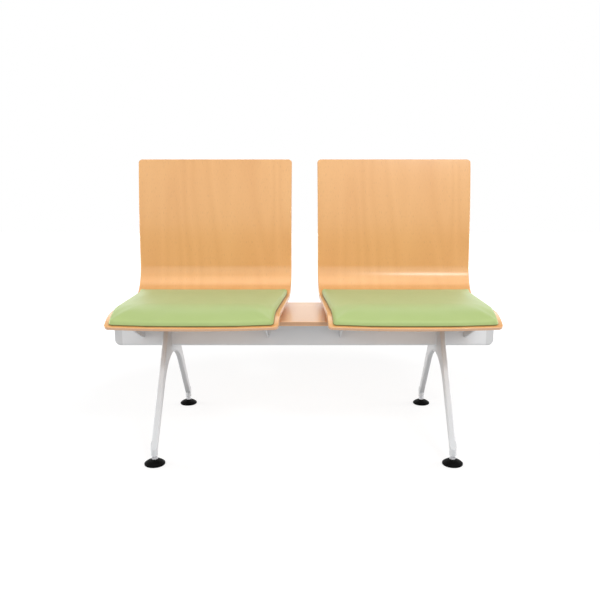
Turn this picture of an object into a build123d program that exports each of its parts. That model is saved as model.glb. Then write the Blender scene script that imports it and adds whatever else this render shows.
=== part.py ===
from build123d import *
import math
import os

# Beam bench: two plywood seats with pads and a small table between them, on a beam with two A-shaped legs.
# Sizes are millimetres and degrees. Front is -Y, up is +Z, the floor is Z = 0 and the beam runs along X.

# Beam and its end caps
beam_height = 80.0
beam_depth = 44.0
beam_overhang = 141.0
beam_wall = 2.5
beam_corner = 8.0
beam_bottom = 274.0
cap_length = 22.0
cap_round = 20.0
cap_plug_length = 25.0
cap_plug_wall = 3.0

# Legs
leg_arm_gap = 75.0
leg_thickness = 18.0
leg_top_thickness = 14.0
leg_edge_round = 4.0
leg_arch_radius = 170.0
leg_web = 25.0
leg_shoulder = 57.0
leg_end_depth = 27.0
prong_thickness = 25.0
boss_diameter = 19.0
boss_bottom = 26.0
clamp_plate_width = 40.0
clamp_plate_thickness = 5.0
clamp_screw_diameter = 6.0
clamp_screw_depth = 20.0

# Levelling feet
foot_spacing = 524.0
foot_diameter = 56.0
foot_edge_chamfer = 1.5
foot_rim_height = 5.0
foot_height = 15.0
foot_crown_diameter = 20.0
ball_diameter = 12.0
ball_height = 8.0
stem_neck_diameter = 8.0
stem_hex_gap = 1.0
stem_hex_height = 6.0
stem_hex_flats = 15.0
stem_thread_diameter = 10.0
stem_engagement = 18.0
stem_travel_up = 3.5

# Seat shells, measured along the upper face
shell_thickness = 11.0
shell_front_width = 457.0
shell_taper = 2.5
shell_front_bow = 7.0
shell_front_corner = 11.0
shell_top_bow = 1.0
shell_top_corner = 12.0
seat_front = 187.0
seat_back = 125.0
seat_slope = 1.5
lip_radius = 170.0
lip_turn = 35.5
bend_radius = 95.0
bend_turn = 90.5
back_length = 343.0
back_turn = 11.0

# Seat arms
arm_rise = 41.0
arm_inset = 41.5
arm_thickness = 5.0
arm_front = 180.0
arm_rear = 75.0
arm_tip = 38.0
arm_hook = 51.5
arm_hook_width = 12.0
arm_flange = 30.0
arm_tab_width = 32.0
arm_bolt_diameter = 8.0
arm_bolt_drop = 26.0
seat_screw_diameter = 6.0
seat_screw_front = 150.0
seat_screw_rear = 45.0
seat_insert_diameter = 9.0
seat_insert_depth = 8.5

# Seat pads
pad_side_margin = 10.0
pad_front_margin = 4.0
pad_bend_turn = 21.0
pad_corner = 12.0
pad_side_height = 17.0
pad_crown = 4.0
pad_end_round = 14.0
pad_draw = 8.0
pad_bulge = 3.5
pad_cover_thickness = 1.2
pad_board_thickness = 6.0
pad_screw_diameter = 4.0
pad_screw_reach = 4.0
pad_screw_side = 110.0
pad_screw_front = 140.0
pad_screw_rear = 40.0

# Table
table_width = 200.0
table_depth = 322.0
table_thickness = 12.0
table_arm_gap = 4.5
table_seat_gap = 15.7
table_corner = 8.0
table_edge_round = 2.0
carrier_side_inset = 25.0
carrier_depth = 210.0
carrier_plate = 5.0
carrier_bolt_diameter = 8.0
carrier_bolt_inset = 30.0
table_screw_diameter = 5.0
table_screw_inset = 14.0
table_insert_diameter = 8.0
table_insert_depth = 9.0

# Fits and fastener details
slip = 0.2
thread_slip = 0.1
ball_slip = 0.3
hole_slip = 0.4
pad_lift = 0.2
pad_skirt = 1.0
layer_gap = 0.3
nut_wall = 1.5
nut_length = 16.0
bolt_head_ratio = 1.6
bolt_head_height = 5.0
bolt_tip_gap = 2.0

# Heights and places that follow from the sizes above
beam_top = beam_bottom + beam_height
beam_side = beam_depth / 2
foot_y = foot_spacing / 2
arm_x = shell_front_width / 2 - arm_inset
seat_x = table_width / 2 + table_arm_gap + arm_thickness / 2 + arm_x
leg_x = seat_x + arm_x - leg_arm_gap
beam_length = 2 * (leg_x + beam_overhang)
seat_underside = beam_top + arm_rise
seat_low = seat_underside - seat_back * math.tan(math.radians(seat_slope))
table_bottom = seat_low - table_seat_gap - table_thickness
carrier_spacer = table_bottom - carrier_plate - beam_top
carrier_width = table_width - 2 * carrier_side_inset
carrier_bolt_x = carrier_width / 2 - carrier_bolt_inset
nut_diameter = arm_bolt_diameter + 2 * thread_slip + 2 * nut_wall


def side_face(points):
    """Plane face in the Y-Z plane through (y, z) points."""
    return Face(Wire(Polyline([(0, y, z) for y, z in points], close=True).edges()))


def across(face, width, middle=0.0):
    """Solid made by pushing a Y-Z face to both sides along X, centred on x = middle."""
    return Pos(middle, 0, 0) * extrude(face, amount=width / 2, dir=(1, 0, 0), both=True)


def cylinder_between(start, end, diameter):
    """Round bar from one point to another."""
    line = Vector(*end) - Vector(*start)
    plane = Plane(origin=start, z_dir=line)
    return extrude(plane * Circle(diameter / 2), amount=line.length)


def hex_bar(start, end, flats):
    """Hexagonal bar from one point to another."""
    line = Vector(*end) - Vector(*start)
    plane = Plane(origin=start, z_dir=line)
    return extrude(plane * RegularPolygon(flats / 2, 6, major_radius=False), amount=line.length)


def hex_bolt(seat, direction, length, diameter):
    """Hexagon-head bolt: its head's bearing face is at seat, its shank runs along direction."""
    start = Vector(*seat)
    way = Vector(*direction)
    head = hex_bar(start - way * bolt_head_height, start, diameter * bolt_head_ratio)
    return head + cylinder_between(start, start + way * length, diameter)


def pan_screw(seat, direction, length, diameter, head_height):
    """Pan-head screw with a plain shank."""
    start = Vector(*seat)
    way = Vector(*direction)
    head = cylinder_between(start - way * head_height, start, diameter * 2)
    return head + cylinder_between(start, start + way * length, diameter)


def bush(start, direction, length, outer, inner):
    """Round sleeve with a through bore."""
    first = Vector(*start)
    last = first + Vector(*direction) * length
    return cylinder_between(first, last, outer) - cylinder_between(first, last, inner)


# Seat section. A developed length runs along the shell's upper face from its front edge to its top edge.
# At each length the face has a normal, leaning back from vertical by an angle.

lip_length = lip_radius * math.radians(lip_turn)
seat_length = (seat_front + seat_back) / math.cos(math.radians(seat_slope))
bend_length = bend_radius * math.radians(bend_turn)
back_radius = back_length / math.radians(back_turn)
bend_start = lip_length + seat_length
back_start = bend_start + bend_length
shell_length = back_start + back_length
section_joints = (lip_length, bend_start, back_start)


def normal(lean):
    """Unit (y, z) vector that leans back from vertical by an angle in degrees."""
    return math.sin(math.radians(lean)), math.cos(math.radians(lean))


def seat_line(y, lift=0.0):
    """Height of the flat part of the seat at depth y, measured up from the shell's underside."""
    slope = math.radians(seat_slope)
    return seat_underside - y * math.tan(slope) + lift / math.cos(slope)


def arc_point(middle, radius, lean, lift):
    """Point on an arc round middle; a negative radius is an arc that is hollow on its upper side."""
    dy, dz = normal(lean)
    return middle[0] + (radius + lift) * dy, middle[1] + (radius + lift) * dz


def section_point(length, lift=0.0):
    """Point (y, z) of the seat section at a developed length, lifted off the upper face."""
    flat = normal(seat_slope)
    lip_end = (-seat_front, seat_line(-seat_front, shell_thickness))
    bend_first = (seat_back, seat_line(seat_back, shell_thickness))
    if length < lip_length:
        lean = seat_slope - lip_turn * (lip_length - length) / lip_length
        middle = (lip_end[0] - lip_radius * flat[0], lip_end[1] - lip_radius * flat[1])
        return arc_point(middle, lip_radius, lean, lift)
    if length <= bend_start:
        share = (length - lip_length) / seat_length
        y = -seat_front + share * (seat_front + seat_back)
        return y + lift * flat[0], seat_line(y, shell_thickness) + lift * flat[1]
    bend_middle = (bend_first[0] + bend_radius * flat[0], bend_first[1] + bend_radius * flat[1])
    if length <= back_start:
        lean = seat_slope - bend_turn * (length - bend_start) / bend_length
        return arc_point(bend_middle, -bend_radius, lean, lift)
    last = seat_slope - bend_turn
    first = arc_point(bend_middle, -bend_radius, last, 0.0)
    reach = normal(last)
    back_middle = (first[0] - back_radius * reach[0], first[1] - back_radius * reach[1])
    lean = last + back_turn * (length - back_start) / back_length
    return arc_point(back_middle, back_radius, lean, lift)


def section_normal(length):
    """Unit (y, z) vector standing off the upper face at a developed length."""
    low = section_point(length, 0.0)
    high = section_point(length, 1.0)
    return high[0] - low[0], high[1] - low[1]


def section_edges(first, last, lift):
    """Lines and arcs of the seat section between two developed lengths."""
    stops = [first, *[joint for joint in section_joints if first < joint < last], last]
    edges = []
    for start, end in zip(stops, stops[1:]):
        a, b, c = [Vector(0, *section_point(s, lift)) for s in (start, (start + end) / 2, end)]
        straight = lip_length <= start and end <= bend_start
        edges.append(Edge.make_line(a, c) if straight else Edge.make_three_point_arc(a, b, c))
    return edges


def section_slab(first, last, low, high, width):
    """Solid between two lifts off the upper face, pushed out along X."""
    under = section_edges(first, last, low)
    over = section_edges(first, last, high)
    ends = [Edge.make_line(under[0] @ 0, over[0] @ 0), Edge.make_line(under[-1] @ 1, over[-1] @ 1)]
    return across(Face(Wire(under + over + ends)), width)


def half_width(y):
    """Half of the shell's width at a depth: each side is an upright plane, and the seat narrows to its front."""
    front_y, front_z = section_point(0.0)
    return shell_front_width / 2 + math.tan(math.radians(shell_taper)) * (y - front_y)


def arm_screw_places():
    """Depths of the seat screws along an arm."""
    return -seat_screw_front, seat_screw_rear


def seat_screw_axis():
    """Direction of every screw driven up into the seat."""
    dy, dz = normal(seat_slope)
    return Vector(0, dy, dz)


def under_point(x, y, lift=0.0):
    """Point under the seat at depth y, lifted off the shell's underside along its normal."""
    dy, dz = normal(seat_slope)
    return Vector(x, y + lift * dy, seat_line(y) + lift * dz)


def flange_middle(side):
    """Middle of an arm's flange across the seat, for the arm on one side of it."""
    return side * (arm_x - arm_thickness / 2 - (arm_flange - arm_thickness) / 2)


def make_shell():
    """Plywood shell about x = 0, with blind holes for the inserts and through holes for the pad screws."""
    shell = section_slab(0.0, shell_length, -shell_thickness, 0.0, 2 * shell_front_width)
    front_y, front_z = section_point(0.0)
    top_half = half_width(section_point(shell_length)[0])
    shell = shell - end_trim(0.0, 1, shell_front_width / 2, shell_front_bow, shell_front_corner)
    shell = shell - end_trim(shell_length, -1, top_half, shell_top_bow, shell_top_corner)
    grow = math.tan(math.radians(shell_taper))
    for side in (-1, 1):
        edge = Plane(origin=(side * shell_front_width / 2, front_y, front_z), z_dir=(side, -grow, 0))
        shell = split(shell, bisect_by=edge, keep=Keep.BOTTOM)
    for x, y in insert_places():
        top = under_point(x, y, seat_insert_depth)
        shell = shell - cylinder_between(under_point(x, y), top, seat_insert_diameter)
    for x, y in pad_screw_places():
        through = pad_screw_diameter + 2 * thread_slip
        top = under_point(x, y, 2 * shell_thickness)
        shell = shell - cylinder_between(under_point(x, y, -shell_thickness), top, through)
    return shell


def end_trim(length, way, half, bow, corner):
    """Cutter that bows one end of the shell and rounds its corners, square to the upper face there."""
    y, z = section_point(length)
    dy, dz = section_normal(length)
    plane = Plane(origin=(0, y, z), x_dir=(1, 0, 0), z_dir=(0, dy, dz))
    side = half + layer_gap
    deep = bow + 2 * corner
    spread = side + 2 * deep * math.tan(math.radians(shell_taper))
    end = ThreePointArc((-side, way * bow), (0, 0), (side, way * bow))
    rest = Polyline((side, way * bow), (spread, way * deep), (-spread, way * deep), (-side, way * bow))
    kept = Face(Wire([*end.edges(), *rest.edges()]))
    kept = fillet([vertex for vertex in kept.vertices() if abs(vertex.Y) < deep / 2], corner)
    cutter = Rectangle(2 * spread + 2 * deep, 2 * deep) - kept
    return extrude(plane * cutter, amount=2 * shell_thickness, both=True)


def insert_places():
    """Centres (x, y) of the threaded inserts in one seat, about its middle."""
    return [(flange_middle(side), y) for side in (-1, 1) for y in arm_screw_places()]


def pad_screw_places():
    """Centres (x, y) of the pad screws in one seat, about its middle."""
    return [(side * pad_screw_side, y) for side in (-1, 1) for y in (-pad_screw_front, pad_screw_rear)]


def make_seat_inserts():
    """Threaded inserts of one seat."""
    bore = seat_screw_diameter + 2 * thread_slip
    outer = seat_insert_diameter - 2 * thread_slip
    axis = seat_screw_axis()
    return [bush(under_point(x, y), axis, seat_insert_depth - slip, outer, bore) for x, y in insert_places()]


def make_seat_screws():
    """Screws of one seat, up through the arm flanges into the inserts."""
    axis = seat_screw_axis()
    length = arm_thickness + seat_insert_depth - bolt_tip_gap
    head = seat_screw_diameter / 2
    return [pan_screw(under_point(x, y, -arm_thickness), axis, length, seat_screw_diameter, head)
            for x, y in insert_places()]


def make_pad_screws():
    """Screws of one seat, up through the shell into the pad board."""
    axis = seat_screw_axis()
    length = shell_thickness + pad_lift + pad_screw_reach
    head = pad_screw_diameter * 0.6
    return [pan_screw(under_point(x, y), axis, length, pad_screw_diameter, head) for x, y in pad_screw_places()]


pad_first = pad_front_margin
pad_last = bend_start + bend_radius * math.radians(pad_bend_turn)


def rounding(distance, radius):
    """Share of a quarter circle reached at a distance from its end: 0 at the end, 1 past the radius."""
    left = max(0.0, 1.0 - distance / radius)
    return math.sqrt(1.0 - left * left)


def pad_section(length, inset):
    """Cross-section of the pad at a developed length, drawn in all round by inset."""
    near = min(length - pad_first, pad_last - length)
    y, z = section_point(length)
    dy, dz = section_normal(length)
    half = half_width(y) - pad_side_margin - pad_corner * (1.0 - rounding(near, pad_corner)) - inset
    rise = pad_side_height * (0.3 + 0.7 * rounding(near, pad_end_round)) - inset
    crown = pad_crown * rise / pad_side_height

    def at(x, lift):
        return Vector(x, y + lift * dy, z + lift * dz)

    low = -pad_skirt - inset
    shoulder = half - pad_draw
    bulge = half + pad_bulge
    middle = (low + rise) / 2
    base = Edge.make_line(at(-half, low), at(half, low))
    right = Edge.make_three_point_arc(at(half, low), at(bulge, middle), at(shoulder, rise))
    top = Edge.make_three_point_arc(at(shoulder, rise), at(0, rise + crown), at(-shoulder, rise))
    left = Edge.make_three_point_arc(at(-shoulder, rise), at(-bulge, middle), at(-half, low))
    return Face(Wire([base, right, top, left]))


def pad_form(inset):
    """Crowned pad solid, drawn in all round by inset and running just under the shell's upper face."""
    ends = [0.0, 0.15 * pad_corner, 0.45 * pad_corner, pad_corner]
    first = pad_first + inset
    last = pad_last - inset
    stops = [first + end for end in ends]
    stops += [lip_length, lip_length + 0.33 * seat_length, lip_length + 0.66 * seat_length, bend_start]
    stops += [last - end for end in reversed(ends)]
    return loft([pad_section(stop, inset) for stop in stops])


def make_pad():
    """Board, foam core and cover of one pad."""
    wide = 2 * shell_front_width
    under = section_slab(0.0, back_start, -shell_thickness, pad_lift, wide)
    cover = pad_form(0.0) - pad_form(pad_cover_thickness) - under
    core = pad_form(pad_cover_thickness + layer_gap)
    board_top = pad_lift + pad_board_thickness
    board = core & section_slab(0.0, back_start, pad_lift, board_top, wide)
    foam = core - section_slab(0.0, back_start, -shell_thickness, board_top + layer_gap, wide)
    for x, y in pad_screw_places():
        top = shell_thickness + pad_lift + pad_screw_reach + layer_gap
        hole = pad_screw_diameter + 2 * thread_slip
        board = board - cylinder_between(under_point(x, y), under_point(x, y, top), hole)
    return board, foam, cover


def make_arm(side):
    """Arm on one side of a seat, about the seat's middle: plate, flange under the shell, tab behind the beam."""
    hook = beam_top - arm_hook
    gap = beam_side + slip
    front = (-arm_front, seat_line(-arm_front))
    rear = (arm_rear, seat_line(arm_rear))
    outline = [front, rear, (rear[0], rear[1] - arm_tip), (gap + arm_hook_width, hook), (gap, hook), (gap, beam_top),
               (-gap, beam_top), (-gap, hook), (-gap - arm_hook_width, hook), (front[0], front[1] - arm_tip)]
    arm = across(side_face(outline), arm_thickness, side * arm_x)
    drop = arm_thickness / math.cos(math.radians(seat_slope))
    strip = [front, rear, (rear[0], rear[1] - drop), (front[0], front[1] - drop)]
    inner = side * (arm_x + arm_thickness / 2)
    arm = arm + across(side_face(strip), arm_flange, inner - side * arm_flange / 2)
    tab = [(gap, hook), (gap + arm_thickness, hook), (gap + arm_thickness, beam_top), (gap, beam_top)]
    arm = arm + across(side_face(tab), arm_tab_width, inner - side * arm_tab_width / 2)
    for y in arm_screw_places():
        x = flange_middle(side)
        through = seat_screw_diameter + hole_slip
        arm = arm - cylinder_between(under_point(x, y, -2 * arm_thickness), under_point(x, y, 1.0), through)
    bolt_x, bolt_z = arm_bolt_place(side)
    through = arm_bolt_diameter + hole_slip
    start = (bolt_x, beam_side, bolt_z)
    return arm - cylinder_between(start, (bolt_x, beam_side + 3 * arm_thickness, bolt_z), through)


def arm_bolt_place(side):
    """Centre (x, z) of an arm's bolt, about the seat's middle."""
    return side * (arm_x - arm_thickness / 2 - (arm_tab_width - arm_thickness) / 2), beam_top - arm_bolt_drop


def make_arm_bolts():
    """Bolts of one seat's two arms, forward through the tabs into the beam."""
    bolts = []
    for side in (-1, 1):
        x, z = arm_bolt_place(side)
        start = (x, beam_side + slip + arm_thickness, z)
        bolts.append(hex_bolt(start, (0, -1, 0), arm_thickness + nut_length - bolt_tip_gap, arm_bolt_diameter))
    return bolts


def nut_places():
    """Start and inward direction of every rivet nut in the beam."""
    places = []
    for seat in (-seat_x, seat_x):
        for side in (-1, 1):
            x, z = arm_bolt_place(side)
            places.append(((seat + x, beam_side, z), (0, -1, 0)))
    for side in (-1, 1):
        places.append(((side * carrier_bolt_x, 0, beam_top), (0, 0, -1)))
    return places


def make_rivet_nuts():
    """Rivet nuts set flush in the beam's walls."""
    bore = arm_bolt_diameter + 2 * thread_slip
    return [bush(start, way, nut_length, nut_diameter, bore) for start, way in nut_places()]


def beam_outline(shrink):
    """Rounded beam section in the Y-Z plane, drawn in by shrink."""
    plane = Plane(origin=(0, 0, beam_bottom + beam_height / 2), x_dir=(0, 1, 0), z_dir=(1, 0, 0))
    corner = beam_corner - shrink
    return plane * RectangleRounded(beam_depth - 2 * shrink, beam_height - 2 * shrink, corner)


def make_beam():
    """Beam tube with the rivet nut holes."""
    beam = across(beam_outline(0.0), beam_length) - across(beam_outline(beam_wall), beam_length)
    for start, way in nut_places():
        first = Vector(*start) - Vector(*way)
        beam = beam - cylinder_between(first, first + Vector(*way) * 3 * beam_wall, nut_diameter + 2 * thread_slip)
    return beam


def make_cap():
    """End cap of the beam's +X end: a rounded block with a hollow plug."""
    start = beam_length / 2
    block = across(beam_outline(0.0), cap_length, start + cap_length / 2)
    half = beam_height / 2
    plane = Plane(origin=(start, 0, beam_bottom + half), x_dir=(1, 0, 0), z_dir=(0, -1, 0))
    arc_low = CenterArc((cap_length - cap_round, -half + cap_round), cap_round, -90, 90)
    arc_high = CenterArc((cap_length - cap_round, half - cap_round), cap_round, 0, 90)
    side = [arc_low @ 1, arc_high @ 0]
    back = [arc_high @ 1, Vector(0, half), Vector(0, -half), arc_low @ 0]
    outline = Face(Wire([*arc_low.edges(), *Polyline(*side).edges(), *arc_high.edges(), *Polyline(*back).edges()]))
    block = block & extrude(plane * outline, amount=beam_depth, both=True)
    shrink = beam_wall + slip
    plug = across(beam_outline(shrink), cap_plug_length) - across(beam_outline(shrink + cap_plug_wall), cap_plug_length)
    return block + Pos(start - cap_plug_length / 2, 0, 0) * plug


def leg_outline():
    """Side face of a leg: a wishbone whose prongs take the beam between them."""
    apex = beam_bottom - leg_web
    middle = apex - leg_arch_radius
    heel = leg_shoulder - leg_end_depth
    reach = math.hypot(foot_y, heel - middle)
    turn = math.atan2(heel - middle, foot_y) + math.acos(leg_arch_radius / reach)
    touch_y = leg_arch_radius * math.cos(turn)
    touch_z = middle + leg_arch_radius * math.sin(turn)
    gap = beam_side + slip
    arch = Edge.make_three_point_arc(Vector(0, -touch_y, touch_z), Vector(0, 0, apex), Vector(0, touch_y, touch_z))
    right = [(touch_y, touch_z), (foot_y, heel), (foot_y, leg_shoulder), (gap + prong_thickness, beam_top),
             (gap, beam_top), (gap, beam_bottom)]
    left = [(-y, z) for y, z in reversed(right)]
    line = Polyline([(0, y, z) for y, z in right + left])
    return Face(Wire([arch, *line.edges()]))


def leg_envelope():
    """Region under the legs' straight outer edges."""
    gap = beam_side + slip
    top = gap + prong_thickness
    fall = (foot_y - top) / (beam_top - leg_shoulder)
    base = top + fall * beam_top
    return across(side_face([(-base, 0), (base, 0), (top, beam_top), (-top, beam_top)]), 2 * boss_diameter)


def leg_half(z):
    """Half of a leg's thickness at a height: it thins evenly from the floor to the top of the beam."""
    return leg_thickness / 2 - (leg_thickness - leg_top_thickness) / 2 * z / beam_top


def make_leg():
    """Leg about x = 0: a rounded casting with an upright boss over each foot and a screw hole in each prong."""
    leg = across(leg_outline(), leg_thickness)
    lean = (leg_thickness - leg_top_thickness) / 2
    for side in (-1, 1):
        cheek = Plane(origin=(side * leg_thickness / 2, 0, 0), z_dir=(side * beam_top, 0, lean))
        leg = split(leg, bisect_by=cheek, keep=Keep.BOTTOM)
    gap = beam_side + slip
    rims = [edge for edge in leg.edges() if abs(abs(edge.center().X) - leg_half(edge.center().Z)) < 0.01]
    outer = [edge for edge in rims if abs(edge.center().Y) > gap + 0.01 or edge.center().Z < beam_bottom - 0.01]
    outer = [edge for edge in outer if edge.center().Z < beam_top - 0.01 and abs(edge.center().Y) < foot_y - 0.01]
    leg = fillet(outer, leg_edge_round)
    for y in (-foot_y, foot_y):
        boss = cylinder_between((0, y, boss_bottom), (0, y, leg_shoulder + boss_diameter), boss_diameter)
        leg = leg + (boss & leg_envelope())
        bore_top = boss_bottom + stem_engagement + stem_travel_up + slip
        bore = stem_thread_diameter + 2 * thread_slip
        leg = leg - cylinder_between((0, y, boss_bottom - 1.0), (0, y, bore_top), bore)
    for y in prong_places():
        hole = clamp_screw_diameter + 2 * thread_slip
        depth = clamp_screw_depth + bolt_tip_gap
        leg = leg - cylinder_between((0, y, beam_top + 1.0), (0, y, beam_top - depth), hole)
    return leg


def prong_places():
    """Depths of the clamp screws, in the middle of each prong's top."""
    y = beam_side + slip + prong_thickness / 2
    return -y, y


def make_clamp_plate():
    """Plate over the beam that joins a leg's two prongs."""
    depth = beam_depth + 2 * slip + 2 * prong_thickness
    plate = Pos(0, 0, beam_top + clamp_plate_thickness / 2) * Box(clamp_plate_width, depth, clamp_plate_thickness)
    plate = fillet(plate.edges().filter_by(Axis.Z), prong_thickness / 2)
    for y in prong_places():
        top = beam_top + 2 * clamp_plate_thickness
        plate = plate - cylinder_between((0, y, beam_top - 1.0), (0, y, top), clamp_screw_diameter + hole_slip)
    return plate


def make_clamp_screws():
    """Screws of one clamp plate."""
    length = clamp_plate_thickness + clamp_screw_depth
    top = beam_top + clamp_plate_thickness
    head = clamp_screw_diameter * 0.7
    return [pan_screw((0, y, top), (0, 0, -1), length, clamp_screw_diameter, head) for y in prong_places()]


def make_foot_base():
    """Domed foot about the Z axis, with a ball socket open at its top."""
    radius = foot_diameter / 2
    crown = foot_crown_diameter / 2
    dome = ThreePointArc((radius, foot_rim_height), dome_middle(radius, crown), (crown, foot_height))
    lines = Polyline((crown, foot_height), (0, foot_height), (0, 0), (radius - foot_edge_chamfer, 0),
                     (radius, foot_edge_chamfer), (radius, foot_rim_height))
    profile = Plane.XZ * Face(Wire([*dome.edges(), *lines.edges()]))
    base = revolve(profile, axis=Axis.Z)
    base = base - Pos(0, 0, ball_height) * Sphere(ball_diameter / 2 + ball_slip)
    neck = stem_neck_diameter + 2 * stem_hex_gap
    return base - cylinder_between((0, 0, ball_height), (0, 0, foot_height + 1.0), neck)


def dome_middle(radius, crown):
    """Point half way along the foot's dome, a little above the straight line from rim to crown."""
    rise = (foot_height - foot_rim_height) * 0.16
    return (radius + crown) / 2, (foot_rim_height + foot_height) / 2 + rise


def make_foot_stem():
    """Stem about the Z axis: ball, neck, hexagon and thread."""
    hex_low = foot_height + stem_hex_gap
    hex_high = hex_low + stem_hex_height
    stem = Pos(0, 0, ball_height) * Sphere(ball_diameter / 2)
    stem = stem + cylinder_between((0, 0, ball_height), (0, 0, hex_low), stem_neck_diameter)
    stem = stem + hex_bar((0, 0, hex_low), (0, 0, hex_high), stem_hex_flats)
    return stem + cylinder_between((0, 0, hex_high), (0, 0, boss_bottom + stem_engagement), stem_thread_diameter)


def make_table_top():
    """Table board with rounded edges and blind holes for its inserts."""
    middle = table_bottom + table_thickness / 2
    board = Pos(0, 0, middle) * Box(table_width, table_depth, table_thickness)
    board = fillet(board.edges().filter_by(Axis.Z), table_corner)
    board = fillet(board.faces().sort_by(Axis.Z)[-1].edges(), table_edge_round)
    for x, y in table_screw_places():
        top = table_bottom + table_insert_depth
        board = board - cylinder_between((x, y, table_bottom), (x, y, top), table_insert_diameter)
    return board


def table_screw_places():
    """Centres (x, y) of the table screws, near the carrier's corners."""
    x = carrier_width / 2 - table_screw_inset
    y = carrier_depth / 2 - table_screw_inset
    return [(i * x, j * y) for i in (-1, 1) for j in (-1, 1)]


def make_carrier():
    """Table carrier: a plate on a spacer bar that lies on the beam."""
    plate_low = beam_top + carrier_spacer
    plate = Pos(0, 0, plate_low + carrier_plate / 2) * Box(carrier_width, carrier_depth, carrier_plate)
    plate = fillet(plate.edges().filter_by(Axis.Z), table_screw_inset)
    bar_depth = beam_depth - 2 * beam_corner
    carrier = plate + Pos(0, 0, beam_top + carrier_spacer / 2) * Box(carrier_width, bar_depth, carrier_spacer)
    for x, y in table_screw_places():
        through = table_screw_diameter + hole_slip
        carrier = carrier - cylinder_between((x, y, plate_low - 1.0), (x, y, table_bottom + 1.0), through)
    for side in (-1, 1):
        x = side * carrier_bolt_x
        through = carrier_bolt_diameter + hole_slip
        carrier = carrier - cylinder_between((x, 0, beam_top - 1.0), (x, 0, table_bottom + 1.0), through)
        head = carrier_head_diameter() + 2 * hole_slip
        carrier = carrier - cylinder_between((x, 0, plate_low), (x, 0, table_bottom + 1.0), head)
    return carrier


def carrier_head_diameter():
    """Head diameter of the carrier's bolts, which sit inside the plate."""
    return carrier_bolt_diameter * 2


def make_carrier_bolts():
    """Bolts that hold the carrier, down through the spacer bar into the beam."""
    length = carrier_spacer + nut_length - bolt_tip_gap
    top = beam_top + carrier_spacer
    head = carrier_plate - slip
    return [pan_screw((side * carrier_bolt_x, 0, top), (0, 0, -1), length, carrier_bolt_diameter, head)
            for side in (-1, 1)]


def make_table_screws():
    """Screws up through the carrier plate into the table's inserts."""
    low = beam_top + carrier_spacer
    length = carrier_plate + table_insert_depth - bolt_tip_gap
    head = table_screw_diameter * 0.6
    return [pan_screw((x, y, low), (0, 0, 1), length, table_screw_diameter, head) for x, y in table_screw_places()]


def make_table_inserts():
    """Threaded inserts in the table board."""
    outer = table_insert_diameter - 2 * thread_slip
    bore = table_screw_diameter + 2 * thread_slip
    length = table_insert_depth - slip
    return [bush((x, y, table_bottom), (0, 0, 1), length, outer, bore) for x, y in table_screw_places()]


def group(solids):
    """Several separate solids as one node."""
    return Compound([solid for shape in solids for solid in shape.solids()])


def place_all():
    """Every node of the bench, in place."""
    nodes = {"beam": make_beam(), "beam_rivet_nuts": group(make_rivet_nuts())}
    cap = make_cap()
    nodes["right_end_cap"] = cap
    nodes["left_end_cap"] = mirror(cap, about=Plane.YZ)
    shell = make_shell()
    board, foam, cover = make_pad()
    inserts = group(make_seat_inserts())
    seat_screws = group(make_seat_screws())
    pad_screws = group(make_pad_screws())
    arm_bolts = group(make_arm_bolts())
    leg = make_leg()
    plate = make_clamp_plate()
    clamp_screws = group(make_clamp_screws())
    foot_base = make_foot_base()
    foot_stem = make_foot_stem()
    arms = {-1: make_arm(-1), 1: make_arm(1)}
    for name, side in (("left", -1), ("right", 1)):
        seat = Pos(side * seat_x, 0, 0)
        nodes[f"{name}_shell"] = seat * shell
        nodes[f"{name}_shell_inserts"] = seat * inserts
        nodes[f"{name}_shell_screws"] = seat * seat_screws
        nodes[f"{name}_pad_board"] = seat * board
        nodes[f"{name}_pad_foam"] = seat * foam
        nodes[f"{name}_pad_cover"] = seat * cover
        nodes[f"{name}_pad_screws"] = seat * pad_screws
        nodes[f"{name}_outer_arm"] = seat * arms[side]
        nodes[f"{name}_inner_arm"] = seat * arms[-side]
        nodes[f"{name}_arm_bolts"] = seat * arm_bolts
        stand = Pos(side * leg_x, 0, 0)
        nodes[f"{name}_leg"] = stand * leg
        nodes[f"{name}_clamp_plate"] = stand * plate
        nodes[f"{name}_clamp_screws"] = stand * clamp_screws
        for end, y in (("front", -foot_y), ("rear", foot_y)):
            spot = Pos(side * leg_x, y, 0)
            nodes[f"{name}_{end}_foot_base"] = spot * foot_base
            nodes[f"{name}_{end}_foot_stem"] = spot * foot_stem
    nodes["table_top"] = make_table_top()
    nodes["table_carrier"] = make_carrier()
    nodes["table_carrier_bolts"] = group(make_carrier_bolts())
    nodes["table_screws"] = group(make_table_screws())
    nodes["table_inserts"] = group(make_table_inserts())
    return nodes


os.makedirs("parts", exist_ok=True)
for node, shape in place_all().items():
    export_step(shape, f"parts/{node}.step")
    size = shape.bounding_box().size
    print(f"{node}: {len(shape.solids())} solid(s), {size.X:.0f} x {size.Y:.0f} x {size.Z:.0f} mm")
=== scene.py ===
# %% [markdown]
# # A beam bench with plywood seats
# Two moulded beech shells with green pads and a small table sit on one grey beam with two cast legs.
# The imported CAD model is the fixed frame: rigid pieces keep their CAD meshes and get real finishes,
# and only what CAD shows too plainly, the shells and the soft pads, is modelled again here.

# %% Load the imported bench
import math

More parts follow.
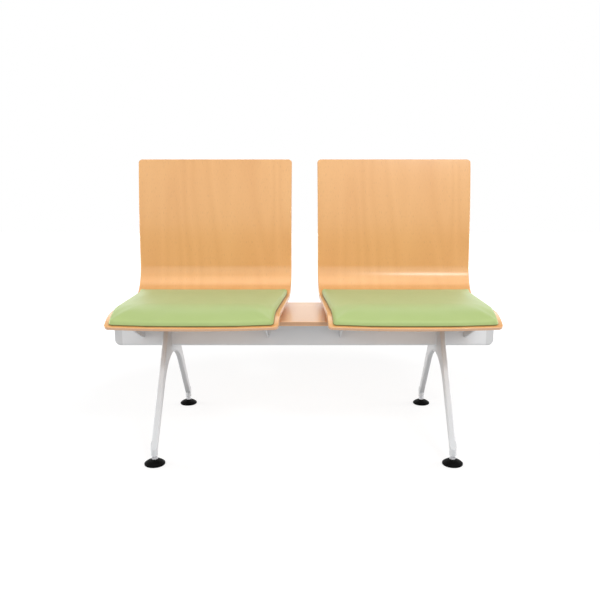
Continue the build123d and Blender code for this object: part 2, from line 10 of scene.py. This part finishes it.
import bmesh
import bpy
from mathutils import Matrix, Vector


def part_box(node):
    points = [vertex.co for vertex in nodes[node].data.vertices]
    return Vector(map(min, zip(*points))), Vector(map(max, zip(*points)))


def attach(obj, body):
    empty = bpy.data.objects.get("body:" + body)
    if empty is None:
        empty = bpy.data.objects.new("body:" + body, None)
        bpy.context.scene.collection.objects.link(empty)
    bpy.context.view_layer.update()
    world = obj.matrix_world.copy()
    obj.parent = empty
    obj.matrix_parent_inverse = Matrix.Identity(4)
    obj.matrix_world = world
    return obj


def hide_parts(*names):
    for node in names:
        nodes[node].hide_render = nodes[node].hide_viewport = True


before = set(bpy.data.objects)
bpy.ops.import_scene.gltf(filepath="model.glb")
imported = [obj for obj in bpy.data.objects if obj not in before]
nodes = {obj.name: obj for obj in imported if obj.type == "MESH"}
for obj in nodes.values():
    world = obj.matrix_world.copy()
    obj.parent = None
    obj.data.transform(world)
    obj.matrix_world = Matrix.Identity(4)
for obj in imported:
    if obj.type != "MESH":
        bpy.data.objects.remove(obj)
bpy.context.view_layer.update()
scene = bpy.context.scene

# %% [markdown]
# ## The line of the seat
# Seen from the side, a shell is one smooth line: a short lip that falls away at the front, a flat seat,
# a tight bend and a back that leans away more and more. Each stretch is an arc of steady turn, so a point
# is found by walking along the line. The shells and the pads both use this walk.

# %% Walk along the seat
FRONT_EDGE = (-0.286513, 0.381895)
FRONT_RISE = math.radians(34.0)
# Each run has a length in metres and a turn in degrees.
SEAT_RUNS = ((0.105331, -35.5), (0.312107, 0.0), (0.150055, 90.5), (0.343, -11.0))
SHELL_LENGTH = sum(run for run, turn in SEAT_RUNS)
SHELL_HALF = 0.2285
SIDE_TAPER = math.tan(math.radians(2.5))
SEAT_X = 0.294


def seat_point(length, lift=0.0):
    """(y, z) at a length along the seat's upper face from its front edge, lifted off the face."""
    y, z = FRONT_EDGE
    rise = FRONT_RISE
    for run, turn in SEAT_RUNS:
        part = min(length, run)
        angle = math.radians(turn) * part / run
        chord = 2 * part / angle * math.sin(angle / 2) if angle else part
        y += chord * math.cos(rise + angle / 2)
        z += chord * math.sin(rise + angle / 2)
        rise += angle
        length -= part
        if length <= 0:
            break
    return y - lift * math.sin(rise), z + lift * math.cos(rise)


def width_share(length):
    """How much wider the shell is at a length than at its front edge."""
    return 1 + SIDE_TAPER * (seat_point(length)[0] - FRONT_EDGE[0]) / SHELL_HALF


print("top of the back, m:", [round(value, 3) for value in seat_point(SHELL_LENGTH)])

# %% [markdown]
# ## Shells
# A plywood shell starts as a flat stack of veneers that is cut to shape and bent in a press. The mesh is
# made in the same order: a flat outline with rounded corners, pulled to its thickness, eased along its rims,
# cut into strips where it will bend, and then pressed onto the seat line. Each point keeps its flat place in
# the attribute "blank", so the grain follows the bend and the layers show on the rims.

# %% Cut and thicken a flat shape
CORNER_STEPS = 10
FRONT_BOW = 0.007
BOW_CUTS = 24
SAME_PLACE = 1e-5


def flat_outline(first_half, last_half, first, last, first_corner, last_corner):
    """A flat face with rounded corners: x runs across the seat, y along it."""
    shape = bmesh.new()
    spots = [(-first_half, first, 0), (first_half, first, 0), (last_half, last, 0), (-last_half, last, 0)]
    corners = [shape.verts.new(spot) for spot in spots]
    shape.faces.new(corners)
    for pair, radius in ((corners[:2], first_corner), (corners[2:], last_corner)):
        bmesh.ops.bevel(shape, geom=pair, offset=radius, offset_type="OFFSET", affect="VERTICES",
                        segments=CORNER_STEPS, profile=0.5, material=-1)
    return shape


def bow_front(shape, first, reach):
    """Draws the outline's first end out in the middle, as the photographed front edge bows."""
    ends = [edge for edge in shape.edges if all(abs(vert.co.y - first) < SAME_PLACE for vert in edge.verts)]
    bmesh.ops.subdivide_edges(shape, edges=ends, cuts=BOW_CUTS)
    for vert in shape.verts:
        if vert.co.y < first + reach:
            vert.co.y += FRONT_BOW * (vert.co.x / SHELL_HALF) ** 2


def thicken(shape, depth):
    """Pulls a flat outline down to a slab."""
    pulled = bmesh.ops.extrude_face_region(shape, geom=shape.faces[:])
    moved = [item for item in pulled["geom"] if isinstance(item, bmesh.types.BMVert)]
    bmesh.ops.translate(shape, verts=moved, vec=(0, 0, -depth))
    bmesh.ops.recalc_face_normals(shape, faces=shape.faces[:])


def ease_rims(shape, heights, radius, segments):
    """Rounds the slab's edges that lie at the given heights."""
    rims = [edge for edge in shape.edges
            if any(all(abs(vert.co.z - height) < SAME_PLACE for vert in edge.verts) for height in heights)]
    bmesh.ops.bevel(shape, geom=rims, offset=radius, offset_type="OFFSET", affect="EDGES",
                    segments=segments, profile=0.5, material=-1)


def cut_strips(shape, stops, way=(0, 1, 0)):
    """Cuts the slab square to a direction at each distance along it."""
    for stop in stops:
        parts = shape.verts[:] + shape.edges[:] + shape.faces[:]
        bmesh.ops.bisect_plane(shape, geom=parts, plane_co=stop * Vector(way), plane_no=way)


print("front bow, mm:", round(FRONT_BOW * 1000, 1))

# %% Press the shells
SHELL_THICKNESS = 0.011
RIM_ROUND, RIM_STEPS = 0.0032, 4
FRONT_CORNER = 0.011
TOP_CORNER = 0.012
STRIP_COUNTS = (16, 6, 36, 24)
NORMAL_WEIGHT = 90


def press(shape):
    """Bends a flat shape onto the seat line and keeps each point's flat place."""
    layer = shape.verts.layers.float_vector.new("blank")
    for vert in shape.verts:
        flat = vert.co.copy()
        vert[layer] = flat
        y, z = seat_point(flat.y, flat.z)
        vert.co = (flat.x * width_share(flat.y), y, z)


def as_object(shape, name, shift=0.0):
    """Makes a mesh object from a bmesh, moved sideways in its mesh."""
    bmesh.ops.translate(shape, verts=shape.verts[:], vec=(shift, 0, 0))
    mesh = bpy.data.meshes.new(name)
    shape.to_mesh(mesh)
    mesh.shade_smooth()
    piece = bpy.data.objects.new(name, mesh)
    scene.collection.objects.link(piece)
    return piece


def bend_stops():
    """Lengths at which the shell is cut into strips, closest in the bend."""
    stops, start = [], 0.0
    for (run, turn), count in zip(SEAT_RUNS, STRIP_COUNTS):
        stops += [start + run * (index + 0.5) / count for index in range(count)]
        start += run
    return stops


def make_shell(name, side):
    """One pressed shell, on the left (-1) or the right (1)."""
    shape = flat_outline(SHELL_HALF, SHELL_HALF, 0.0, SHELL_LENGTH, FRONT_CORNER, TOP_CORNER)
    bow_front(shape, 0.0, 3 * FRONT_CORNER)
    thicken(shape, SHELL_THICKNESS)
    ease_rims(shape, (0.0, -SHELL_THICKNESS), RIM_ROUND, RIM_STEPS)
    cut_strips(shape, bend_stops())
    press(shape)
    shell = as_object(shape, name, side * SEAT_X)
    shape.free()
    calm = shell.modifiers.new("even normals", "WEIGHTED_NORMAL")
    calm.weight = NORMAL_WEIGHT
    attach(shell, "bench")
    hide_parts(name.replace("plywood", "shell"))
    return shell


shells = [make_shell("left_plywood", -1), make_shell("right_plywood", 1)]
print("shell faces:", [len(shell.data.polygons) for shell in shells])

# %% [markdown]
# ## Seat pads
# Each pad is foam under a soft vinyl cover that is pulled down to a board. A real pad is sewn and stuffed
# flat before it is laid on the shell. So here a flat slab gets a rolled top edge and a tucked bottom edge and
# is cut into a fine grid. Its underside is held still while a cloth simulation blows the cover out, and a few
# smoothing passes take the creases out of the corners. The pad is then pressed onto the same seat line.

# %% The pad's flat shape
PAD_FIRST, PAD_LAST = 0.0035, 0.4522
PAD_HALF, PAD_REAR_HALF = 0.2175, 0.2225
PAD_CORNER = 0.0110
PAD_HEIGHT = 0.0172
PAD_ROLL, ROLL_STEPS = 0.0105, 7
PAD_TUCK, TUCK_STEPS = 0.0063, 3
REAR_SHARE = 0.4
PAD_MESH = 0.006


def pad_slab():
    """The pad before it is stuffed: a slab with rolled and tucked edges, cut into a fine grid."""
    shape = flat_outline(PAD_HALF, PAD_REAR_HALF, PAD_FIRST, PAD_LAST, PAD_CORNER, PAD_CORNER)
    bow_front(shape, PAD_FIRST, 3 * PAD_CORNER)
    bmesh.ops.translate(shape, verts=shape.verts[:], vec=(0, 0, PAD_HEIGHT))
    thicken(shape, PAD_HEIGHT)
    ease_rims(shape, (PAD_HEIGHT,), PAD_ROLL, ROLL_STEPS)
    ease_rims(shape, (0.0,), PAD_TUCK, TUCK_STEPS)
    for vert in shape.verts:
        if vert.co.y > PAD_LAST - PAD_ROLL:
            vert.co.y = PAD_LAST - (PAD_LAST - vert.co.y) * REAR_SHARE
    across = int(PAD_REAR_HALF / PAD_MESH)
    cut_strips(shape, [index * PAD_MESH for index in range(-across, across + 1)], (1, 0, 0))
    along = int((PAD_LAST - PAD_FIRST) / PAD_MESH)
    cut_strips(shape, [PAD_FIRST + (index + 0.5) * PAD_MESH for index in range(along)])
    mesh = bpy.data.meshes.new("pad_slab")
    shape.to_mesh(mesh)
    shape.free()
    return mesh


slab = pad_slab()
print("pad slab faces:", len(slab.polygons))

# %% Stuff the pad
PAD_PRESSURE = 4.0
PAD_FRAMES = 20
CLOTH_QUALITY = 5
HELD_BELOW = 0.003
PAD_SWELL = 0.006
PAD_EASE = 3
EASED_ABOVE = 0.004


def evaluated(piece):
    """A copy of a piece's mesh with its modifiers applied."""
    graph = bpy.context.evaluated_depsgraph_get()
    return bpy.data.meshes.new_from_object(piece.evaluated_get(graph))


def blow_out(start):
    """Runs the cloth simulation on a mesh and returns it with each point's move softly capped."""
    cover = bpy.data.objects.new("pad_cover_cloth", start)
    scene.collection.objects.link(cover)
    held = cover.vertex_groups.new(name="held")
    held.add([vert.index for vert in start.vertices if vert.co.z < HELD_BELOW], 1.0, "REPLACE")
    cloth = cover.modifiers.new("cloth", "CLOTH")
    cloth.settings.vertex_group_mass = "held"
    cloth.settings.use_pressure = True
    cloth.settings.uniform_pressure_force = PAD_PRESSURE
    cloth.settings.effector_weights.gravity = 0.0
    cloth.settings.quality = CLOTH_QUALITY
    for step in range(1, PAD_FRAMES + 1):
        scene.frame_set(step)
    moved = evaluated(cover)
    scene.frame_set(1)
    for before, after in zip(start.vertices, moved.vertices):
        move = after.co - before.co
        after.co = before.co + move * PAD_SWELL / (PAD_SWELL + move.length)
    bpy.data.objects.remove(cover)
    return moved


def stuffed_pad(start):
    """The pad in its flat state, swollen by pressure and smoothed, as a bmesh."""
    swollen = blow_out(start)
    shape = bmesh.new()
    shape.from_mesh(swollen)
    for _ in range(PAD_EASE):
        upper = [vert for vert in shape.verts if vert.co.z > EASED_ABOVE]
        bmesh.ops.smooth_vert(shape, verts=upper, factor=0.5,
                              use_axis_x=True, use_axis_y=True, use_axis_z=True)
    return shape


flat_pad = stuffed_pad(slab)
print("pad height when stuffed, mm:", round(max(vert.co.z for vert in flat_pad.verts) * 1000, 1))

# %% Lay the pads on the shells
PAD_LIFT = 0.0003


def make_pad(name, side, flat):
    """One pad, pressed onto the shell on the left (-1) or the right (1)."""
    shape = flat.copy()
    bmesh.ops.translate(shape, verts=shape.verts[:], vec=(0, 0, PAD_LIFT))
    for vert in shape.verts:
        vert.co.z = max(vert.co.z, PAD_LIFT)
    press(shape)
    pad = as_object(shape, name, side * SEAT_X)
    shape.free()
    finer = pad.modifiers.new("finer", "SUBSURF")
    finer.levels = finer.render_levels = 1
    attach(pad, "bench")
    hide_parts(*[name.replace("pad", part) for part in ("pad_cover", "pad_foam", "pad_board")])
    return pad


pads = [make_pad("left_pad", -1, flat_pad), make_pad("right_pad", 1, flat_pad)]
flat_pad.free()
print("pad faces:", [len(pad.data.polygons) for pad in pads])

# %% [markdown]
# ## Finishes
# A finish is a small network of shader nodes. Three helpers keep it readable. A Tap wraps one socket, so that
# Python's own operators add the Math nodes. A Network is a tree with one method that adds any node, and a
# Finish is the network of a material. The studio's room at the end is a Network too.

# %% Arithmetic with sockets


class Tap:
    """A socket of a network that takes part in Python arithmetic."""

    def __init__(self, network, socket):
        self.network = network
        self.socket = socket

    def __add__(self, other):
        return self.network.math("ADD", self, other)

    def __sub__(self, other):
        return self.network.math("SUBTRACT", self, other)

    def __rsub__(self, other):
        return self.network.math("SUBTRACT", other, self)

    def __mul__(self, other):
        return self.network.math("MULTIPLY", self, other)

    def __truediv__(self, other):
        return self.network.math("DIVIDE", self, other)

    def __gt__(self, other):
        return self.network.math("GREATER_THAN", self, other)

    def __lt__(self, other):
        return self.network.math("LESS_THAN", self, other)

    __radd__ = __add__
    __rmul__ = __mul__


print("a Tap takes part in + - * / > and <")

# %% A tree of nodes


class Network:
    """A tree of shader nodes that are added from Python."""

    def __init__(self, tree):
        self.tree = tree

    def node(self, kind, settings=None, inputs=None, output=0):
        """Adds a node: its settings first, then its sockets' values or links."""
        made = self.tree.nodes.new("ShaderNode" + kind)
        for key, value in (settings or {}).items():
            if key == "stops":
                self.set_stops(made.color_ramp, value)
            else:
                setattr(made, key, value)
        for key, value in (inputs or {}).items():
            self.feed(made.inputs[key], value)
        return Tap(self, made.outputs[output])

    def set_stops(self, ramp, stops):
        """Gives a colour ramp its (place, colour) stops."""
        for place, shade in stops[1:-1]:
            ramp.elements.new(place)
        for element, (place, shade) in zip(ramp.elements, stops):
            element.position = place
            element.color = (*shade, 1.0)

    def feed(self, socket, value):
        """Links a Tap to a socket, or sets the socket's own value."""
        if isinstance(value, Tap):
            self.tree.links.new(value.socket, socket)
        else:
            socket.default_value = value

    def math(self, operation, first, second):
        return self.node("Math", {"operation": operation}, {0: first, 1: second})

    def clamp(self, value, low=0.0, high=1.0):
        return self.node("Clamp", {}, {"Value": value, "Min": low, "Max": high})

    def place(self, scale, source=None):
        """The piece's own coordinates, or an attribute's, stretched by scale."""
        if source:
            spot = self.node("Attribute", {"attribute_name": source}, output="Vector")
        else:
            spot = self.node("TexCoord", output="Object")
        return self.node("Mapping", {}, {"Vector": spot, "Scale": scale})

    def axis(self, spot, name):
        return self.node("SeparateXYZ", {}, {"Vector": spot}, name)

    def noise(self, spot, scale, detail=2.0, roughness=0.5):
        inputs = {"Vector": spot, "Scale": scale, "Detail": detail, "Roughness": roughness}
        return self.node("TexNoise", {}, inputs)

    def greys(self, value, stops):
        """A ramp of greys from (place, grey) stops."""
        shades = [(place, (grey, grey, grey)) for place, grey in stops]
        return self.node("ValToRGB", {"stops": shades}, {"Fac": value})

    def blend(self, low, high, factor):
        """Mixes two colours."""
        return self.node("Mix", {"data_type": "RGBA"}, {"Factor": factor, 6: low, 7: high}, 2)


print("a Network adds nodes, maths, noise, greys and blends")

# %% A material


class Finish(Network):
    """A material with a Principled shader."""

    def __init__(self, name, **constants):
        self.material = bpy.data.materials.new(name)
        self.material.use_nodes = True
        super().__init__(self.material.node_tree)
        self.shader = self.tree.nodes["Principled BSDF"]
        self.wear(**constants)

    def wear(self, **values):
        """Sets or links the shader's sockets, each named in lower case, such as coat_ior."""
        for name, value in values.items():
            self.feed(self.shader.inputs[name.replace("_", " ").title().replace("Ior", "IOR")], value)

    def bump(self, height, distance, strength):
        """Makes the surface look raised by a height pattern."""
        inputs = {"Height": height, "Distance": distance, "Strength": strength}
        self.wear(normal=self.node("Bump", {}, inputs, "Normal"))


def dress(finish, *pieces):
    """Gives pieces one finish in place of what they had."""
    for piece in pieces:
        piece.data.materials.clear()
        piece.data.materials.append(finish.material)


def colour(red, green, blue):
    return (red, green, blue, 1.0)


print("a Finish is a material, and dress puts it on pieces")

# %% [markdown]
# ## Beech
# The shells are honey-coloured beech with a satin lacquer: fine upright fibres, short dark flecks and slow
# changes of tone along the grain. Noise that is squeezed across the grain and drawn out along it gives all
# three, with the flat place of each point as its coordinate. The rims show the stack of veneers, lighter and
# darker by turns. The table is the same wood, lighter, on plain object coordinates.

# %% Beech finishes
VENEERS = 9
RIM_MARGIN = 0.75
RING_LINES = 9.0
FLECK_FROM, FLECK_RISE = 0.63, 9.0


def beech(name, source, thickness, depth_of, light, dark, fleck, edge_light, edge_dark):
    """Lacquered beech: the coordinate it follows, how deep a point lies under the face, and colours."""
    wood = Finish(name, coat_weight=0.6, coat_roughness=0.2, coat_ior=1.5)
    fibre = wood.noise(wood.place((1.0, 0.045, 0.05), source), scale=900.0, detail=3.0, roughness=0.6)
    tone = wood.noise(wood.place((1.0, 0.16, 0.3), source), scale=11.0)
    rings = wood.noise(wood.place((1.0, 0.13, 0.3), source), scale=7.0, detail=1.0, roughness=0.4)
    ring_lines = wood.math("PINGPONG", rings * RING_LINES, 0.5) * 2.0
    shade = wood.clamp(tone * 0.8 + fibre * 0.45 + ring_lines * 0.30 - 0.28)
    body = wood.blend(colour(*dark), colour(*light), shade)
    dashes = wood.noise(wood.place((1.0, 0.14, 0.5), source), scale=520.0, detail=1.0, roughness=0.4)
    flecks = wood.clamp((dashes - FLECK_FROM) * FLECK_RISE)
    face = wood.blend(body, colour(*fleck), flecks * 0.30)
    layer = depth_of(wood) / thickness * VENEERS
    odd = wood.math("MODULO", layer, 2.0) > 1.0
    rim_noise = wood.noise(wood.place((1.0, 1.0, 0.3), source), scale=420.0) * 0.5
    rim = wood.blend(colour(*edge_light), colour(*edge_dark), wood.clamp(odd * 0.75 + rim_noise - 0.2))
    inside = (layer > RIM_MARGIN) * (layer < VENEERS - RIM_MARGIN)
    wood.wear(base_color=wood.blend(face, rim, inside), roughness=0.36 + fibre * 0.14)
    wood.bump(fibre, distance=0.00012, strength=0.35)
    return wood


def blank_depth(wood):
    """Depth under the shell's upper face, from its flat place."""
    flat = wood.node("Attribute", {"attribute_name": "blank"}, output="Vector")
    return 0.0 - wood.axis(flat, "Z")


table_low, table_high = [corner.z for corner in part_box("table_top")]


def table_depth(wood):
    """Depth under the table's upper face."""
    return table_high - wood.axis(wood.node("TexCoord", output="Object"), "Z")


shell_beech = beech("beech_honey", "blank", SHELL_THICKNESS, blank_depth,
                    light=(0.87, 0.46, 0.16), dark=(0.76, 0.36, 0.105), fleck=(0.50, 0.22, 0.07),
                    edge_light=(0.88, 0.55, 0.33), edge_dark=(0.62, 0.33, 0.17))
table_beech = beech("beech_pale", None, table_high - table_low, table_depth,
                    light=(0.90, 0.555, 0.29), dark=(0.83, 0.455, 0.205), fleck=(0.55, 0.28, 0.13),
                    edge_light=(0.58, 0.34, 0.19), edge_dark=(0.42, 0.22, 0.11))
dress(shell_beech, *shells)
dress(table_beech, nodes["table_top"])
print("beech on", len(shells), "shells and a table of, mm:", round((table_high - table_low) * 1000, 2))

# %% [markdown]
# ## Vinyl
# The pads are apple-green vinyl: a soft satin skin with a fine pebble grain. The grain is a cell pattern used
# as bump, small enough that from a step away it only softens the highlight. The lowest band of the cover,
# where it meets the shell, is painted near-black: a painted contact shadow that draws the thin dark line
# around each pad.

# %% Vinyl finish
# Height and fade of the painted contact shadow along the bottom of the cover.
PAINTED_SHADE_HEIGHT, PAINTED_SHADE_FADE = 0.0056, 0.0022
vinyl = Finish("apple_vinyl", specular_ior_level=0.32, sheen_weight=0.1, sheen_roughness=0.4)
skin = vinyl.place((1.0, 1.0, 1.0), "blank")
grain = {"Vector": skin, "Scale": 700.0, "Smoothness": 0.6}
pebbles = vinyl.node("TexVoronoi", {"feature": "SMOOTH_F1"}, grain)
mottle = vinyl.noise(skin, scale=14.0)
green = vinyl.blend(colour(0.415, 0.53, 0.20), colour(0.46, 0.575, 0.225), mottle)
# Painted shade: the cover darkens towards its lowest few millimetres, a painted contact shadow at the shell.
painted_contact_shade = vinyl.clamp((PAINTED_SHADE_HEIGHT - vinyl.axis(skin, "Z")) / PAINTED_SHADE_FADE)
skin_colour = vinyl.blend(green, colour(0.06, 0.05, 0.015), painted_contact_shade * 0.85)
vinyl.wear(base_color=skin_colour, roughness=0.40 + pebbles * 0.14)
vinyl.bump(pebbles, distance=0.00025, strength=0.5)
dress(vinyl, *pads)
print("vinyl on", len(pads), "pads")

# %% [markdown]
# ## Metal and plastic
# The beam is powder coated in pale satin grey, the legs are a painted casting, the feet are black plastic and
# the fasteners are zinc-plated. Paint and plastic have a faint orange peel, and the casting a slightly
# broader one. One function makes them all, from a shade, a roughness and the size of the peel.

# %% Paint, plastic and steel finishes


def paint(name, shade, roughness, peel_scale, peel_height, change=0.06, **constants):
    """A painted or moulded surface: slow shade changes and a fine orange peel."""
    coatwork = Finish(name, **constants)
    spot = coatwork.place((1.0, 1.0, 1.0))
    drift = coatwork.noise(spot, scale=9.0)
    peel = coatwork.noise(spot, peel_scale)
    low = colour(*[value * (1 - change) for value in shade])
    high = colour(*[min(1.0, value * (1 + change)) for value in shade])
    coatwork.wear(base_color=coatwork.blend(low, high, drift), roughness=roughness + (peel - 0.5) * 0.12)
    coatwork.bump(peel, peel_height, strength=0.4)
    return coatwork


beam_grey = paint("beam_powder_coat", (0.85, 0.87, 0.89), 0.42, 700.0, 0.0002,
                  coat_weight=0.15, coat_roughness=0.2)
cap_grey = paint("cap_plastic", (0.72, 0.735, 0.75), 0.45, 500.0, 0.0002)
leg_pale = paint("leg_casting_paint", (0.67, 0.685, 0.70), 0.5, 320.0, 0.0003)
bracket_grey = paint("bracket_paint", (0.70, 0.715, 0.735), 0.45, 600.0, 0.0002)
foot_black = paint("foot_black_plastic", (0.004, 0.004, 0.004), 0.5, 500.0, 0.0002,
                   change=0.2, specular_ior_level=0.03)
zinc = paint("zinc_plate", (0.60, 0.60, 0.62), 0.34, 900.0, 0.0001, metallic=1.0)
brass = paint("insert_brass", (0.62, 0.42, 0.16), 0.35, 900.0, 0.0001, metallic=1.0)


def named(*words):
    """CAD nodes whose names hold one of the words."""
    return [node for name, node in nodes.items() if any(word in name for word in words)]


dress(beam_grey, nodes["beam"])
dress(cap_grey, *named("end_cap"))
dress(leg_pale, nodes["left_leg"], nodes["right_leg"])
dress(bracket_grey, *named("_arm", "clamp_plate", "table_carrier"))
dress(foot_black, *named("foot_base"))
fasteners = named("screws", "bolts", "rivet_nuts", "foot_stem")
dress(zinc, *fasteners)
dress(brass, *named("inserts"))
print("CAD nodes with a zinc finish:", len(fasteners))

# %% [markdown]
# ## Floor, light and camera
# The photograph is a catalogue picture on pure white with a trace of shadow. The floor glows just enough to
# look white and still takes a little shadow. Its glow is raised in the middle, a painted fill that lifts the
# bench's shadow under it, and rises to full white far off. The room has three levels, chosen by Light Path:
# one for its soft light, one for what satin surfaces mirror, where bright panels give the bends and the pads
# their sheen, and plain white for the camera. A broad soft box stands high in front, a small strip on the
# right draws the bright line in the right shell's bend, and two low boxes at the sides light the flanks of
# the legs. The camera stands where a fit to the edges in the photograph puts it.

# %% Floor
FLOOR_HALF = 9.0
FLOOR_SHADE, BOUNCE_SHADE = 0.28, 0.5
GLOW_REACH = 2.0
# The floor's glow is higher in the middle, a painted fill that lifts the bench's shadow; far off it rises to
# full white.
FLOOR_GLOW_AND_PAINTED_FILL = ((0.0, 0.80), (0.2, 0.76), (0.45, 0.75), (1.0, 1.0))
floor_shape = bmesh.new()
bmesh.ops.create_grid(floor_shape, x_segments=1, y_segments=1, size=FLOOR_HALF)
floor = as_object(floor_shape, "studio_floor")
floor_shape.free()
paper = Finish("studio_paper", base_color=colour(*[FLOOR_SHADE] * 3), roughness=0.9,
               specular_ior_level=0.0, emission_strength=1.0)
share = paper.place([1 / GLOW_REACH] * 3)
away = paper.node("VectorMath", {"operation": "LENGTH"}, {0: share}, "Value")
paper.wear(emission_color=paper.greys(away, FLOOR_GLOW_AND_PAINTED_FILL))
bounce = paper.node("BsdfDiffuse", {}, {"Color": colour(*[BOUNCE_SHADE] * 3)})
seen = paper.node("LightPath", output="Is Camera Ray") + paper.node("LightPath", output="Is Glossy Ray")
look = Tap(paper, paper.shader.outputs[0])
shown = paper.node("MixShader", {}, {0: paper.clamp(seen), 1: bounce, 2: look})
paper.feed(paper.tree.nodes["Material Output"].inputs["Surface"], shown)
dress(paper, floor)
print("floor, m across:", 2 * FLOOR_HALF)

# %% Room
ROOM_LEVEL, FRONT_DIM, SIDE_GAIN, TOP_DIM = 0.8, 0.4, 0.4, 0.5
MIRROR_LEAST, MIRROR_MOST = 0.12, 1.15
PANEL_LEVEL, PANEL_NARROWING = 4.2, 3.0
FRONT_PANEL = ((0.1, 0.0), (0.19, 0.9), (0.38, 1.0), (0.5, 0.1))
REAR_PANEL = ((0.68, 0.0), (0.78, 0.6), (0.92, 0.6), (0.97, 0.0))
world = bpy.data.worlds.new("white studio")
scene.world = world
world.use_nodes = True
sky = Network(world.node_tree)
side, depth, height = [sky.axis(sky.node("TexCoord", output="Generated"), name) for name in "XYZ"]
front_to_back = depth * 0.5 + 0.5
ahead = sky.clamp(1.0 - front_to_back * 2.0)
room = ROOM_LEVEL - ahead * ahead * FRONT_DIM + side * side * SIDE_GAIN - height * height * TOP_DIM
panels = sky.greys(front_to_back, FRONT_PANEL + REAR_PANEL)
reach = sky.clamp(1.0 - side * side * PANEL_NARROWING)
walls = sky.clamp(front_to_back * MIRROR_MOST, MIRROR_LEAST, MIRROR_MOST)
mirrored = walls + panels * reach * PANEL_LEVEL


def pick(factor, low, high):
    """One of two numbers, by a factor of 0 or 1."""
    return low + (high - low) * factor


camera_rays = sky.node("LightPath", output="Is Camera Ray")
mirror_rays = sky.node("LightPath", output="Is Glossy Ray")
background = sky.tree.nodes["Background"]
background.inputs["Color"].default_value = colour(1, 1, 1)
sky.feed(background.inputs["Strength"], pick(camera_rays, pick(mirror_rays, room, mirrored), 1.0))
print("room levels: soft", ROOM_LEVEL, "mirrored", MIRROR_MOST, "panels", PANEL_LEVEL)

# %% Soft boxes


def soft_box(name, place, aim, width, height, power):
    """A rectangular area lamp at place, turned to aim."""
    lamp = bpy.data.lights.new(name, "AREA")
    lamp.shape = "RECTANGLE"
    lamp.size = width
    lamp.size_y = height
    lamp.energy = power
    holder = bpy.data.objects.new(name, lamp)
    holder.location = place
    holder.rotation_euler = (Vector(aim) - Vector(place)).to_track_quat("-Z", "Y").to_euler()
    scene.collection.objects.link(holder)


soft_box("front_box", (-0.25, -3.3, 1.95), aim=(0, 0, 0.5), width=4.4, height=2.05, power=47.5)
soft_box("right_strip", (1.2, -3.0, 2.95), aim=(0.4, 0.2, 0.46), width=0.8, height=0.42, power=34.0)
for name, x in (("left_low_box", -3.0), ("right_low_box", 3.0)):
    soft_box(name, (x, 0.45, 0.5), aim=(0, 0.1, 0.3), width=0.8, height=0.7, power=36.0)
print("lamps:", [light.name for light in bpy.data.lights])

# %% Camera
CAMERA_SIDE, CAMERA_BACK, CAMERA_HEIGHT = 0.0154, 2.003, 0.748
CAMERA_TILT = 0.167
FOCAL_PIXELS = 674.4
PHOTO_PIXELS = 600
MIDDLE_PIXEL = 309.3
lens = bpy.data.cameras.new("catalogue camera")
lens.sensor_width = 36.0
lens.lens = FOCAL_PIXELS * lens.sensor_width / PHOTO_PIXELS
lens.shift_x = (PHOTO_PIXELS / 2 - MIDDLE_PIXEL) / PHOTO_PIXELS
camera = bpy.data.objects.new("catalogue camera", lens)
camera.location = (CAMERA_SIDE, -CAMERA_BACK, CAMERA_HEIGHT)
camera.rotation_euler = (math.pi / 2 - CAMERA_TILT, 0, 0)
scene.collection.objects.link(camera)
scene.camera = camera
scene.view_settings.view_transform = "Standard"
print("camera lens, mm:", round(lens.lens, 2))
